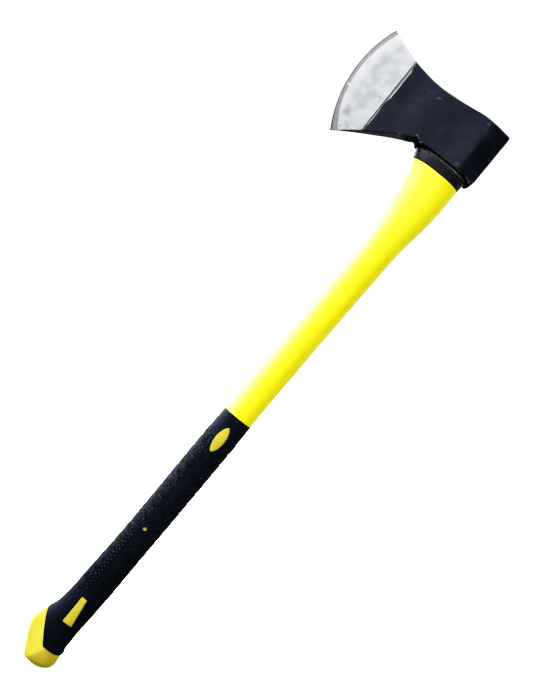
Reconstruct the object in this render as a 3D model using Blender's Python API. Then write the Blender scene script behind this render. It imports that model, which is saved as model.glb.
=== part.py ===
"""Fire axe: a forged head resin-bonded to a fibreglass-cored handle with a two-shot moulded grip.

The axe stands upright. +Z runs up the handle from the butt to the head, the cutting edge faces -X
and the two cheeks face -Y and +Y. The origin is on the handle's axis, at the flat end of the butt.
Sections and outlines are written as forward distances, from the handle's axis towards the cutting
edge, so X is minus the forward distance.
"""

import math
from bisect import bisect_right

import bmesh
import bpy
from mathutils import Matrix, Vector

MM = 0.001

# Clearances
GAP = 0.3 * MM  # left between two pieces that touch
OVERSHOOT = 6 * MM  # how far a cutter runs past what it cuts
WINDOW_REACH = 40 * MM  # half the length of the cutters that open the windows
ZONE_REACH = 60 * MM  # half the size of the region that trims the sleeve
WELD = 0.001 * MM  # points closer than this are one

# Levels up the handle
GRIP_FOOT = 25.3 * MM  # where the sleeve ends at the back of the butt
GRIP_TOP = 357 * MM
COLLAR_FOOT = 706 * MM
COLLAR_TOP = 719 * MM
HEAD_FOOT = 721 * MM  # underside of the eye
HEAD_CROWN = 788.6 * MM  # top of the eye
OVERALL = 805 * MM  # butt to toe

# Handle outline: (up, forward) in millimetres along the front and back edges, and half the thickness
SHAFT_FRONT = ((357, 17.4), (450, 17.3), (540, 17.5), (590, 17.9), (616, 18.8), (637, 20.2),
               (658, 22.2), (682, 25.6), (696, 28.7), (706, 32.1))
SHAFT_BACK = ((357, -18.6), (396, -18.8), (464, -19.5), (514, -20.7), (582, -22.4), (616, -24.0),
              (649, -27.9), (666, -29.6), (680, -30.1), (706, -29.8))
SHAFT_HALF = ((357, 15.2), (450, 14.9), (540, 14.9), (600, 15.3), (640, 16.2), (675, 17.4), (706, 18.5))
GRIP_FRONT = ((0, 17.7), (0.3, 18.1), (2.2, 18.9), (14.3, 25.3), (20.5, 28.7), (28, 32.4), (33, 34.6),
              (38, 35.5), (43, 34.9), (49, 32.6), (55, 30.6), (61, 28.1), (68, 25.8), (78, 24),
              (92, 22.8), (127, 21.1), (160, 19.8), (205, 19), (329, 18.6), (357, 17.8))
GRIP_BACK = ((0, -6.5), (1.2, -8.6), (5.4, -14.6), (8.6, -16.8), (12, -17.5), (18, -17), (25, -15.9),
             (37, -15.2), (55, -15), (68, -15.6), (90, -16.5), (150, -17), (228, -18), (300, -18.7),
             (346, -19), (357, -18.8))
GRIP_HALF = ((0, 9), (1.2, 11), (4.5, 13.6), (10, 15.8), (20, 17.4), (30, 18.1), (42, 18.1), (58, 17.4),
             (80, 16.7), (110, 16.2), (200, 15.9), (330, 15.7), (357, 15.4))
GRIP_LEVELS = (0, 1, 2.8, 5.4, 9, 14.3, 20.5, 28, 33, 38, 43, 49, 55, 61, 68, 78, 92, 115, 153, 191,
               229, 267, 305, 343, 357)
SHAFT_LEVELS = (357, 410, 464, 514, 560, 595, 616, 632, 645, 658, 670, 682, 692, 699, 706)
SLEEVE_WALL = 2.6 * MM  # thickness of the black sleeve over the yellow moulding
SKIN_FOOT = 12 * MM  # the surface under the sleeve is drawn from here up
GRIP_ROUND = (2.4, 2.4)  # section exponents at the front and back; 2 is an ellipse
NECK_ROUND = (2.1, 2.8)

# Boundary between butt knob and sleeve in side view: level at the back, then up to the front edge
BOUNDARY_CORNER = 6.2 * MM
BOUNDARY_RISE = 1.42  # slope of the front stretch

# Windows where the yellow moulding shows through the sleeve, on both cheeks
LENS_CENTRE = (-0.3 * MM, 325.5 * MM)
LENS_SIZE = (33 * MM, 12 * MM)
LENS_ROUND = 1.45  # exponent of the pointed oval; 2 would be an ellipse
LENS_TIP_SHARE = 2  # the pointed ends need this much more clearance along the handle
LENS_SIDES = 24
PIP_CENTRE = (1.1 * MM, 196.5 * MM)
PIP_DIAMETER = 4.3 * MM
PIP_SIDES = 16
TAPER_FOOT, TAPER_HEAD = 61 * MM, 95 * MM
TAPER_FRONT = 6.9 * MM
TAPER_BACK_FOOT, TAPER_BACK_HEAD = -4.8 * MM, 0.1 * MM

# Fibreglass core: a straight pultruded bar
CORE_SECTION = (12.8 * MM, -10.4 * MM, 7.2 * MM)  # front, back, half width
CORE_ROUND = (3.2, 3.2)
CORE_FOOT = 20 * MM
CORE_LEVELS = (CORE_FOOT, 280 * MM, 540 * MM)

# Neck, tenon and eye as (front, back, half width) of their sections
NECK = (28.6 * MM, -26 * MM, 14.6 * MM)
TENON_FOOT = (28.2 * MM, -21 * MM, 9.4 * MM)
TENON_TOP = (26.2 * MM, -19.4 * MM, 8.9 * MM)
EYE_FOOT = (31 * MM, -23.6 * MM, 11.4 * MM)
EYE_TOP = (33.5 * MM, -25.6 * MM, 13 * MM)
EYE_ROUND = (2.1, 2.6)
SET_BACK = 0.8 * MM  # the handle's end and the resin lie this far below the top of the head

# Collar as (front, back, half width)
COLLAR_LOW = (32.1 * MM, -29.8 * MM, 18.5 * MM)
COLLAR_SHOULDER = (36.6 * MM, -30.6 * MM, 19 * MM)
COLLAR_RIM = (35.2 * MM, -29.4 * MM, 17.7 * MM)
COLLAR_CHAMFER = 1.6 * MM
COLLAR_FLARE = 0.55  # share of the flare reached half way up
BEAD_INSET = 0.9 * MM  # the squeezed-out resin lies this far inside the collar's rim

# Head: outlines against the forward distance, in millimetres
POLL = -37.6
GRIND_LINE = 97
HEEL = (124.6, 671.4)
TOE = (138, 805)
EDGE_SAGITTA = 15.5  # depth of the curved edge over the chord from heel to toe
CROWN_LINE = ((-37.6, 788.6), (-4, 788.6), (18, 786.4), (34, 785.1), (50, 784.4), (66, 785.1), (80, 787),
              (97, 790.2), (114, 795.2), (138, 805), (160, 814.4))
BELLY_LINE = ((-37.6, 717.4), (-33.5, 717.6), (-31.6, 719.2), (-30, 720.7), (-28.9, 721), (34.6, 721),
              (36.2, 720), (37.3, 719.4), (38.6, 719.5), (41.2, 721.6), (43.4, 723.2), (45, 722.5),
              (48, 720.2), (58, 715.2), (80, 701.8), (97, 691.1), (124.6, 671.4), (160, 645))
HALF_THICKNESS = ((-37.6, 13.2), (-30, 15.1), (-17, 18.2), (-13, 18.8), (-8, 19), (2, 18.9),
                  (14, 17.9), (30, 15.8), (50, 13.1), (70, 10.9), (85, 9.2), (97, 7.8))
POLL_TOP_RADIUS = 2.4
POLL_FOOT_RADIUS = 8.5
POLL_FACE_SHARE = 0.965  # height of the flat of the poll inside its bevelled border
HEAD_CHAMFER = 1.4
EDGE_CHAMFER_SHARE = 0.4  # of the half thickness, where the bit is too thin for the full chamfer
BODY_STATIONS = (-36.2, -34.6, -33, -31.6, -30, -28.5, -22, -15, -8, 0, 8, 16, 25, 34.3, 36.2, 37.6,
                 39.6, 41.4, 43.4, 45.2, 48, 58, 66, 76, 86, 96.6)
BIT_STATIONS = (0.0, 0.2, 0.4, 0.6, 0.78, 0.9, 1.0)  # shares of the way from grind line to edge
GRIND_STEP = 0.45  # the ground bit lies this much below the painted cheek
BEVEL_START = 0.9  # share of the way from the grind line to the edge
BIT_BOW = 0.15  # how far the bit's wedge departs from a straight taper
BEVEL_HALF = 1.5
EDGE_HALF = 0.2
CHEEK_CROWN = 0.1  # share by which the cheeks thin towards their upper and lower edges
CHEEK_CROWN_START, CHEEK_CROWN_RUN = 20, 60  # where that begins, and how far on it is complete

RING_SIDES = 28
CHEEK_ROWS = 9
HALVINGS = 40  # of the interval in which the cutting edge is looked for

# Looks: colour and roughness
YELLOW = ((0.85, 0.72, 0.015), 0.4)
RUBBER = ((0.012, 0.014, 0.02), 0.65)
COLLAR_BLACK = ((0.012, 0.012, 0.018), 0.5)
PAINT = ((0.014, 0.017, 0.028), 0.38)
RESIN = ((0.45, 0.43, 0.2), 0.35)
GLASS_FIBRE = ((0.66, 0.68, 0.5), 0.6)
SMOOTH_UNDER = 40  # edges that turn by less than this many degrees are shaded smooth


def track(points, value):
    """The smooth curve through (position, value) pairs, with no overshoot between them."""
    places = [p for p, _ in points]
    if value <= places[0]:
        return points[0][1]
    if value >= places[-1]:
        return points[-1][1]
    i = bisect_right(places, value) - 1
    slopes = [(b[1] - a[1]) / (b[0] - a[0]) for a, b in zip(points, points[1:])]

    def tangent(k):
        if k in (0, len(points) - 1):
            return slopes[min(k, len(slopes) - 1)]
        before, after = slopes[k - 1], slopes[k]
        return 0.0 if before * after <= 0 else 2 * before * after / (before + after)

    span = places[i + 1] - places[i]
    t = (value - places[i]) / span
    start, end = points[i][1], points[i + 1][1]
    return (
        start * (1 + 2 * t) * (1 - t) ** 2
        + tangent(i) * span * t * (1 - t) ** 2
        + end * t * t * (3 - 2 * t)
        - tangent(i + 1) * span * t * t * (1 - t)
    )


def ring(section, up, rounds=GRIP_ROUND):
    """One egg-shaped section as 3D points; up is a level or a function of the forward distance."""
    front, back, half = section
    middle = (front + back) / 2
    points = []
    for k in range(RING_SIDES):
        angle = 2 * math.pi * (k + 0.5) / RING_SIDES
        cos, sin = math.cos(angle), math.sin(angle)
        power = 2 / (rounds[0] if cos > 0 else rounds[1])
        reach = math.copysign(abs(cos) ** power, cos)
        forward = middle + reach * (front - middle)
        across = math.copysign(abs(sin) ** power, sin) * half
        level = up(forward) if callable(up) else up
        points.append(Vector((-forward, across, level)))
    return points


def grown(section, by):
    front, back, half = section
    return front + by, back - by, half + by


def between(low, high, share):
    return tuple(a + (b - a) * share for a, b in zip(low, high))


def link(obj, collection):
    collection.objects.link(obj)
    if collection is cutters:
        obj.hide_render = True
        obj.display_type = "WIRE"
    return obj


def loft(name, rings, collection, closed=False):
    """A skin over rings of equal count; closed joins the last ring to the first, as in a tube."""
    mesh = bpy.data.meshes.new(name)
    bm = bmesh.new()
    loops = [[bm.verts.new(p) for p in points] for points in rings]
    pairs = list(zip(loops, loops[1:]))
    if closed:
        pairs.append((loops[-1], loops[0]))
    else:
        bm.faces.new(loops[0])
        bm.faces.new(loops[-1])
    for low, high in pairs:
        for k, corner in enumerate(low):
            bm.faces.new((corner, low[k - 1], high[k - 1], high[k]))
    bmesh.ops.recalc_face_normals(bm, faces=bm.faces)
    bm.to_mesh(mesh)
    bm.free()
    return link(bpy.data.objects.new(name, mesh), collection)


def plate(name, outline, half_thickness):
    """A cutter: a flat outline of (forward, up) points, extruded across the axe to a closed mesh."""
    curve = bpy.data.curves.new(name, "CURVE")
    curve.dimensions = "2D"
    curve.fill_mode = "BOTH"
    curve.extrude = half_thickness
    spline = curve.splines.new("POLY")
    spline.points.add(len(outline) - 1)
    for point, (forward, up) in zip(spline.points, outline):
        point.co = (-forward, up, 0, 1)
    spline.use_cyclic_u = True
    guide = link(bpy.data.objects.new(name + "_outline", curve), cutters)
    guide.rotation_euler = (math.pi / 2, 0, 0)
    bpy.context.view_layer.update()
    mesh = bpy.data.meshes.new_from_object(guide.evaluated_get(bpy.context.evaluated_depsgraph_get()))
    bm = bmesh.new()
    bm.from_mesh(mesh)
    bmesh.ops.remove_doubles(bm, verts=bm.verts, dist=WELD)
    bmesh.ops.recalc_face_normals(bm, faces=bm.faces)
    bm.to_mesh(mesh)
    bm.free()
    made = link(bpy.data.objects.new(name, mesh), cutters)
    made.matrix_world = guide.matrix_world
    bpy.data.objects.remove(guide)
    return made


def combine(target, operation, *others):
    for other in others:
        modifier = target.modifiers.new(operation.lower() + "_" + other.name, "BOOLEAN")
        modifier.operation = operation
        modifier.solver = "EXACT"
        modifier.object = other


def finish(obj, origin, look):
    """Moves the object's origin, parents it to the axe and gives it a smooth, coloured surface."""
    colour, roughness = look
    obj.data.transform(Matrix.Translation(-Vector(origin)))
    obj.location = origin
    obj.parent = axe
    obj.data.shade_smooth()
    obj.data.set_sharp_from_angle(angle=math.radians(SMOOTH_UNDER))
    material = bpy.data.materials.new(obj.name)
    material.use_nodes = True
    shader = material.node_tree.nodes["Principled BSDF"]
    shader.inputs["Base Color"].default_value = (*colour, 1)
    shader.inputs["Roughness"].default_value = roughness
    obj.data.materials.append(material)


def crown(forward):
    """Level of the head's upper edge at a forward distance in metres, without its rounded corners."""
    return track(CROWN_LINE, forward / MM) * MM


def handle_end(forward):
    """The handle's end and the resin are trimmed parallel to the top of the head."""
    return crown(forward) - SET_BACK


def grip_section(up, inset=0.0):
    at = up / MM
    section = (track(GRIP_FRONT, at) * MM, track(GRIP_BACK, at) * MM, track(GRIP_HALF, at) * MM)
    return grown(section, -inset)


def shaft_section(up):
    at = up / MM
    return track(SHAFT_FRONT, at) * MM, track(SHAFT_BACK, at) * MM, track(SHAFT_HALF, at) * MM


def grip_rings():
    """Sections of the knob and the grip's outer surface."""
    return [ring(grip_section(at * MM), at * MM) for at in GRIP_LEVELS]


def neck_rounds(up):
    """The section turns from the grip's oval into the neck's egg shape up the shaft."""
    share = min(1, max(0, (up - GRIP_TOP) / (COLLAR_FOOT - GRIP_TOP)))
    return between(GRIP_ROUND, NECK_ROUND, share)


def sleeve_zone(name, inset):
    """The side-view region that the sleeve fills, less an inset at the foot and the top."""
    foot = GRIP_FOOT + inset
    corner = BOUNDARY_CORNER - inset * (math.hypot(1, BOUNDARY_RISE) - 1) / BOUNDARY_RISE
    rise = foot + (ZONE_REACH - corner) * BOUNDARY_RISE
    top = GRIP_TOP - inset
    outline = [
        (-ZONE_REACH, foot),
        (corner, foot),
        (ZONE_REACH, rise),
        (ZONE_REACH, top),
        (-ZONE_REACH, top),
    ]
    return plate(name, outline, ZONE_REACH)


def lens(name, grow):
    """A pointed oval, long along the handle."""
    half_length = LENS_SIZE[0] / 2 + grow * LENS_TIP_SHARE
    half_width = LENS_SIZE[1] / 2 + grow
    outline = []
    for k in range(LENS_SIDES):
        angle = 2 * math.pi * k / LENS_SIDES
        out = math.cos(angle)
        width = math.copysign(half_width * abs(out) ** (2 / LENS_ROUND), out)
        outline.append((LENS_CENTRE[0] + width, LENS_CENTRE[1] + half_length * math.sin(angle)))
    return plate(name, outline, WINDOW_REACH)


def pip(name, grow):
    mesh = bpy.data.meshes.new(name)
    bm = bmesh.new()
    radius = PIP_DIAMETER / 2 + grow
    size = {"radius1": radius, "radius2": radius, "depth": 2 * WINDOW_REACH}
    bmesh.ops.create_cone(bm, cap_ends=True, segments=PIP_SIDES, **size)
    bm.to_mesh(mesh)
    bm.free()
    made = link(bpy.data.objects.new(name, mesh), cutters)
    made.location = (-PIP_CENTRE[0], 0, PIP_CENTRE[1])
    made.rotation_euler = (math.pi / 2, 0, 0)
    return made


def taper(name, grow):
    outline = [
        (TAPER_FRONT + grow, TAPER_FOOT - grow),
        (TAPER_FRONT + grow, TAPER_HEAD + grow),
        (TAPER_BACK_HEAD - grow, TAPER_HEAD + grow),
        (TAPER_BACK_FOOT - grow, TAPER_FOOT - grow),
    ]
    return plate(name, outline, WINDOW_REACH)


def windows(label, grow):
    return lens("lens_" + label, grow), pip("pip_" + label, grow), taper("taper_" + label, grow)


def under_sleeve(name, grow):
    """The yellow moulding beneath the sleeve, as a loft that runs past the sleeve at both ends."""
    inset = SLEEVE_WALL - grow
    levels = [at * MM for at in GRIP_LEVELS if SKIN_FOOT < at * MM < GRIP_TOP]
    rings = [ring(grip_section(up, inset), up) for up in levels]
    top = grip_section(GRIP_TOP, inset)
    rings.append(ring(top, GRIP_TOP + OVERSHOOT))
    return loft(name, rings, cutters)


def make_core():
    levels = (*CORE_LEVELS, handle_end)
    return loft("handle_core", [ring(CORE_SECTION, up, CORE_ROUND) for up in levels], parts)


def core_bore():
    levels = (CORE_FOOT - GAP, OVERALL + OVERSHOOT)
    return loft("core_bore", [ring(grown(CORE_SECTION, GAP), up, CORE_ROUND) for up in levels], cutters)


def make_jacket():
    """Yellow moulding: knob, skin and pads under the sleeve, shaft, neck and tenon in one body."""
    rings = grip_rings()
    rings += [ring(shaft_section(at * MM), at * MM, neck_rounds(at * MM)) for at in SHAFT_LEVELS]
    rings += [ring(NECK, up, NECK_ROUND) for up in (COLLAR_FOOT, COLLAR_TOP)]
    rings.append(ring(TENON_FOOT, COLLAR_TOP, EYE_ROUND))
    rings.append(ring(TENON_TOP, handle_end, EYE_ROUND))
    jacket = loft("handle_jacket", rings, parts)
    shell = sleeve_zone("sleeve_pocket", 0.0)
    combine(shell, "DIFFERENCE", under_sleeve("under_sleeve", 0.0), *windows("pads", 0.0))
    combine(jacket, "DIFFERENCE", shell, core_bore())
    return jacket


def make_sleeve():
    """Black soft grip moulded round the yellow one, with its windows."""
    sleeve = loft("grip_sleeve", grip_rings(), parts)
    combine(sleeve, "INTERSECT", sleeve_zone("sleeve_zone", GAP))
    combine(sleeve, "DIFFERENCE", under_sleeve("sleeve_bore", GAP), *windows("openings", GAP))
    return sleeve


def make_collar():
    """Black ring under the head, flush with the shaft below and flared to the eye above."""
    shoulder = COLLAR_TOP - COLLAR_CHAMFER
    foot = COLLAR_FOOT + GAP
    middle = (foot + shoulder) / 2
    rings = [
        ring(COLLAR_LOW, foot, NECK_ROUND),
        ring(between(COLLAR_LOW, COLLAR_SHOULDER, COLLAR_FLARE), middle, NECK_ROUND),
        ring(COLLAR_SHOULDER, shoulder, NECK_ROUND),
        ring(COLLAR_RIM, COLLAR_TOP, NECK_ROUND),
        ring(grown(NECK, GAP), COLLAR_TOP, NECK_ROUND),
        ring(grown(NECK, GAP), foot, NECK_ROUND),
    ]
    return loft("head_collar", rings, parts, closed=True)


def eye_section(up, grow=0.0):
    share = (up - HEAD_FOOT) / (HEAD_CROWN - HEAD_FOOT)
    return grown(between(EYE_FOOT, EYE_TOP, share), grow)


def make_resin():
    """Cast resin between tenon and eye, with the bead squeezed out over the collar."""
    bead = grown(COLLAR_RIM, -BEAD_INSET)
    foot, face = COLLAR_TOP + GAP, HEAD_FOOT - GAP
    rings = [
        ring(bead, foot, NECK_ROUND),
        ring(bead, face, NECK_ROUND),
        ring(eye_section(face, -GAP), face, EYE_ROUND),
        ring(eye_section(HEAD_CROWN, -GAP), handle_end, EYE_ROUND),
        ring(grown(TENON_TOP, GAP), handle_end, EYE_ROUND),
        ring(grown(TENON_FOOT, GAP), foot, EYE_ROUND),
    ]
    return loft("eye_resin", rings, parts, closed=True)


def edge_circle():
    """Centre and radius of the cutting edge's arc in side view, in millimetres."""
    heel, toe = Vector(HEEL), Vector(TOE)
    half = (toe - heel).length / 2
    radius = (half**2 + EDGE_SAGITTA**2) / (2 * EDGE_SAGITTA)
    along = (toe - heel).normalized()
    outward = Vector((along.y, -along.x))
    return (heel + toe) / 2 - outward * (radius - EDGE_SAGITTA), radius


def head_lines(forward):
    """Lower and upper outline of the head at a forward distance, with the poll's rounded corners."""

    def lift(radius):
        return radius - math.sqrt(radius**2 - max(0, radius - (forward - POLL)) ** 2)

    low = track(BELLY_LINE, forward) + lift(POLL_FOOT_RADIUS)
    high = track(CROWN_LINE, forward) - lift(POLL_TOP_RADIUS)
    return low, high


def reach_of(share):
    """Forward distance at which a line at this share of the head's height meets the cutting edge."""
    centre, radius = edge_circle()
    near, far = GRIND_LINE, centre.x + radius
    for _ in range(HALVINGS):
        middle = (near + far) / 2
        low, high = head_lines(middle)
        inside = (Vector((middle, low + (high - low) * share)) - centre).length < radius
        near, far = (middle, far) if inside else (near, middle)
    return near


def cheek_point(station, share, half, trim):
    """One corner of the head's skin: station is a forward distance or, past the grind line, 1 to 2."""
    if station[0] == "body":
        forward = station[1]
    else:
        forward = GRIND_LINE + (reach_of(share) - GRIND_LINE) * station[1]
    low, high = head_lines(forward)
    up = low + trim + (high - low - 2 * trim) * share
    begun = min(1, max(0, (forward - CHEEK_CROWN_START) / CHEEK_CROWN_RUN))
    return forward, half * (1 - CHEEK_CROWN * begun * (2 * share - 1) ** 2), up


def head_ring(station, half, chamfer):
    """Section across the head: up one cheek and down the other, with chamfered edges."""
    right = [cheek_point(station, k / CHEEK_ROWS, half, chamfer) for k in range(CHEEK_ROWS + 1)]
    foot = cheek_point(station, 0, half - chamfer, 0)
    top = cheek_point(station, 1, half - chamfer, 0)
    side = [foot, *right, top]
    other = [(forward, -across, up) for forward, across, up in reversed(side)]
    return [Vector((-forward, across, up)) * MM for forward, across, up in side + other]


def bit_half(share):
    """Half the bit's thickness from the grind line (0) to the edge (1): a slightly convex wedge."""
    ground = track(HALF_THICKNESS, GRIND_LINE) - GRIND_STEP
    if share <= BEVEL_START:
        run = share / BEVEL_START
        return ground + (BEVEL_HALF - ground) * (run - BIT_BOW * run * (1 - run))
    return BEVEL_HALF + (EDGE_HALF - BEVEL_HALF) * (share - BEVEL_START) / (1 - BEVEL_START)


def make_head():
    """The forging: painted body, ground bit with its edge bevel, flat poll and the eye right through."""
    poll_half = track(HALF_THICKNESS, POLL)
    border = head_ring(("body", BODY_STATIONS[0]), poll_half, HEAD_CHAMFER)
    middle = (HEAD_FOOT + HEAD_CROWN) / 2
    narrow = 1 - HEAD_CHAMFER / poll_half
    flat = [Vector((-POLL * MM, p.y * narrow, middle + (p.z - middle) * POLL_FACE_SHARE)) for p in border]
    rings = [flat]
    rings += [head_ring(("body", f), track(HALF_THICKNESS, f), HEAD_CHAMFER) for f in BODY_STATIONS]
    for share in BIT_STATIONS:
        half = bit_half(share)
        rings.append(head_ring(("bit", share), half, min(HEAD_CHAMFER, half * EDGE_CHAMFER_SHARE)))
    head = loft("axe_head", rings, parts)
    levels = (HEAD_FOOT - 2 * OVERSHOOT, HEAD_CROWN + OVERSHOOT)
    eye = loft("eye", [ring(eye_section(up), up, EYE_ROUND) for up in levels], cutters)
    combine(head, "DIFFERENCE", eye)
    return head


for old in list(bpy.data.objects):
    bpy.data.objects.remove(old)

parts = bpy.data.collections.new("fire_axe")
cutters = bpy.data.collections.new("cutters")
for collection in (parts, cutters):
    bpy.context.scene.collection.children.link(collection)
axe = bpy.data.objects.new("fire_axe", None)
parts.objects.link(axe)

finish(make_head(), (0, 0, (HEAD_FOOT + HEAD_CROWN) / 2), PAINT)
finish(make_collar(), (0, 0, COLLAR_FOOT), COLLAR_BLACK)
finish(make_resin(), (0, 0, HEAD_FOOT), RESIN)
finish(make_core(), (0, 0, CORE_FOOT), GLASS_FIBRE)
finish(make_jacket(), (0, 0, 0), YELLOW)
finish(make_sleeve(), (0, 0, GRIP_FOOT), RUBBER)
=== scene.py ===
"""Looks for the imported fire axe: forged head, collar, cast resin, yellow moulding and soft grip.

The frame is the CAD's: metres, +Z up the handle from the butt, the cutting edge towards -X and the
cheeks towards -Y and +Y. Shapes are worked out in millimetres as forward distances from the handle's
axis towards the cutting edge, so X is minus the forward distance.
"""

import math
from itertools import product

import bmesh
import bpy
import numpy as np
from mathutils import Matrix, Vector

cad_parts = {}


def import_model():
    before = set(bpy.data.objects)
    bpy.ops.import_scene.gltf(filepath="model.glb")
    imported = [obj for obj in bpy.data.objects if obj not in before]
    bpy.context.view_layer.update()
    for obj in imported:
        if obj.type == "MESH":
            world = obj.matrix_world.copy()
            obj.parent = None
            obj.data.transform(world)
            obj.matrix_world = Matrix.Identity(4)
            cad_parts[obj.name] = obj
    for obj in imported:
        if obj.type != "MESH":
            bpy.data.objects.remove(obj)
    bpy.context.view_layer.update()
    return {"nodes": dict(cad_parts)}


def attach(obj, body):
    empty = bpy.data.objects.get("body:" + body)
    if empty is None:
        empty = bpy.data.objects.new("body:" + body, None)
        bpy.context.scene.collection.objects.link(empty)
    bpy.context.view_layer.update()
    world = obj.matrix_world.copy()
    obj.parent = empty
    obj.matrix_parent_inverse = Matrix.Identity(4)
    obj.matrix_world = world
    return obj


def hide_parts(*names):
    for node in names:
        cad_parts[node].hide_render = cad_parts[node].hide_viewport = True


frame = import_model()

MM = 0.001
GAP = 0.3  # between two pieces that touch
ROOT = "root"

# Handle: (up, forward) along the front and back edges, and half the thickness
SHAFT_FRONT = ((357, 17.4), (450, 17.3), (540, 17.5), (590, 17.9), (616, 18.8), (637, 20.2),
    (658, 22.2), (682, 25.6), (696, 28.7), (706, 32.1))
SHAFT_BACK = ((357, -18.6), (396, -18.8), (464, -19.5), (514, -20.7), (582, -22.4), (616, -24.0),
    (649, -27.9), (666, -29.6), (680, -30.1), (706, -29.8))
SHAFT_HALF = ((357, 15.2), (450, 14.9), (540, 14.9), (600, 15.3), (640, 16.2), (675, 17.4), (706, 18.5))
GRIP_FRONT = ((0, 17.7), (0.3, 18.1), (2.2, 18.9), (14.3, 25.3), (20.5, 28.7), (28, 32.4), (33, 34.6),
    (38, 35.5), (43, 34.9), (49, 32.6), (55, 30.6), (61, 28.1), (68, 25.8), (78, 24),
    (92, 22.8), (127, 21.1), (160, 19.8), (205, 19), (329, 18.6), (357, 17.8))
GRIP_BACK = ((0, -6.5), (1.2, -8.6), (5.4, -14.6), (8.6, -16.8), (12, -17.5), (18, -17), (25, -15.9),
    (37, -15.2), (55, -15), (68, -15.6), (90, -16.5), (150, -17), (228, -18), (300, -18.7),
    (346, -19), (357, -18.8))
GRIP_HALF = ((0, 9), (1.2, 11), (4.5, 13.6), (10, 15.8), (20, 17.4), (30, 18.1), (42, 18.1), (58, 17.4),
    (80, 16.7), (110, 16.2), (200, 15.9), (330, 15.7), (357, 15.4))
GRIP_ROUND = (2.4, 2.4)
NECK_ROUND = (2.1, 2.8)
GRIP_TOP, GRIP_FOOT = 357, 25.3
BOUNDARY_CORNER, BOUNDARY_RISE = 6.2, 1.42
SLEEVE_WALL = 2.6
COLLAR_FOOT, COLLAR_TOP = 706, 719

# Windows in the sleeve
LENS_CENTRE, LENS_SIZE, LENS_ROUND = (-0.3, 325.5), (33, 12), 1.45
PIP_CENTRE, PIP_DIAMETER = (1.1, 196.5), 4.3
TAPER = ((6.9, 61), (6.9, 95), (0.1, 95), (-4.8, 61))

# Neck, tenon, eye and collar as (front, back, half width)
NECK = (28.6, -26, 14.6)
TENON_FOOT, TENON_TOP = (28.2, -21, 9.4), (26.2, -19.4, 8.9)
EYE_FOOT, EYE_TOP = (31, -23.6, 11.4), (33.5, -25.6, 13)
EYE_ROUND = (2.1, 2.6)
SET_BACK = 0.8
COLLAR_LOW, COLLAR_SHOULDER, COLLAR_RIM = (32.1, -29.8, 18.5), (36.6, -30.6, 19), (35.2, -29.4, 17.7)

# Head
HEAD_FOOT, HEAD_CROWN = 721, 788.6
POLL, GRIND_LINE = -37.6, 97
HEEL, TOE, EDGE_SAGITTA = (124.6, 671.4), (138, 805), 15.5
CROWN_LINE = ((-37.6, 788.6), (-4, 788.6), (18, 786.4), (34, 785.1), (50, 784.4), (66, 785.1), (80, 787),
    (97, 790.2), (114, 795.2), (138, 805), (160, 814.4))
BELLY_LINE = ((-37.6, 717.4), (-33.5, 717.6), (-31.6, 719.2), (-30, 720.7), (-28.9, 721), (34.6, 721),
    (36.2, 720), (37.3, 719.4), (38.6, 719.5), (41.2, 721.6), (43.4, 723.2), (45, 722.5),
    (48, 720.2), (58, 715.2), (80, 701.8), (97, 691.1), (124.6, 671.4), (160, 645))
HALF_THICKNESS = ((-37.6, 13.2), (-30, 15.1), (-17, 18.2), (-13, 18.8), (-8, 19), (2, 18.9),
    (14, 17.9), (30, 15.8), (50, 13.1), (70, 10.9), (85, 9.2), (97, 7.8))
POLL_TOP_RADIUS, POLL_FOOT_RADIUS = 2.4, 8.5
BEVEL_HALF, EDGE_HALF = 1.5, 0.2


# ---- shapes


def track(points, value):
    """The smooth curve through (position, value) pairs at an array of positions, with no overshoot."""
    xs, ys = np.array(points, float).T
    slopes = np.diff(ys) / np.diff(xs)
    before, after = slopes[:-1], slopes[1:]
    same = before * after > 0
    inner = np.where(same, 2 * before * after / np.where(same, before + after, 1), 0)
    tangents = np.concatenate((slopes[:1], inner, slopes[-1:]))
    at = np.clip(value, xs[0], xs[-1])
    i = np.clip(np.searchsorted(xs, at, side="right") - 1, 0, len(xs) - 2)
    span = xs[i + 1] - xs[i]
    t = (at - xs[i]) / span
    start = ys[i] * (1 + 2 * t) * (1 - t) ** 2 + tangents[i] * span * t * (1 - t) ** 2
    return start + ys[i + 1] * t * t * (3 - 2 * t) - tangents[i + 1] * span * t * t * (1 - t)


def smooth(low, high, value):
    t = np.clip((np.asarray(value, float) - low) / (high - low), 0, 1)
    return t * t * (3 - 2 * t)


def halved(low, high, inside):
    """Where a test stops holding between two arrays, found by halving."""
    for _ in range(40):
        middle = (low + high) / 2
        keep = inside(middle)
        low, high = np.where(keep, middle, low), np.where(keep, high, middle)
    return low


def rounded(distance, radius):
    """How far a rounded edge lies inside the square one, at a distance from it."""
    near = np.clip(distance / radius, 0, 1)
    return radius * (1 - np.sqrt(1 - (1 - near) ** 2))


LATTICE = np.random.default_rng(11).uniform(-1, 1, 4096)


def noise(points, size, seed=0):
    """Smooth noise from -1 to 1 at points in millimetres, with features of about that size."""
    place = points / size + 31.7 * (seed + 1)
    cell = np.floor(place).astype(int)
    part = place - cell
    part = part * part * (3 - 2 * part)
    total = 0
    for corner in product((0, 1), repeat=3):
        index = (cell + corner) @ np.array((73, 179, 283)) % len(LATTICE)
        weight = np.prod(np.where(np.array(corner) == 1, part, 1 - part), axis=-1)
        total = total + weight * LATTICE[index]
    return total


def egg(section, angle, rounds):
    """Forward and across distances of an egg-shaped section, by the angle from its front."""
    front, back, half = section
    middle = (front + back) / 2
    cos, sin = np.cos(angle), np.sin(angle)
    power = 2 / np.where(cos > 0, rounds[0], rounds[1])
    forward = middle + np.sign(cos) * np.abs(cos) ** power * (front - middle)
    return forward, np.sign(sin) * np.abs(sin) ** power * half


def bell(value, centre, width):
    return np.exp(-(((value - centre) / width) ** 2))


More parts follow.
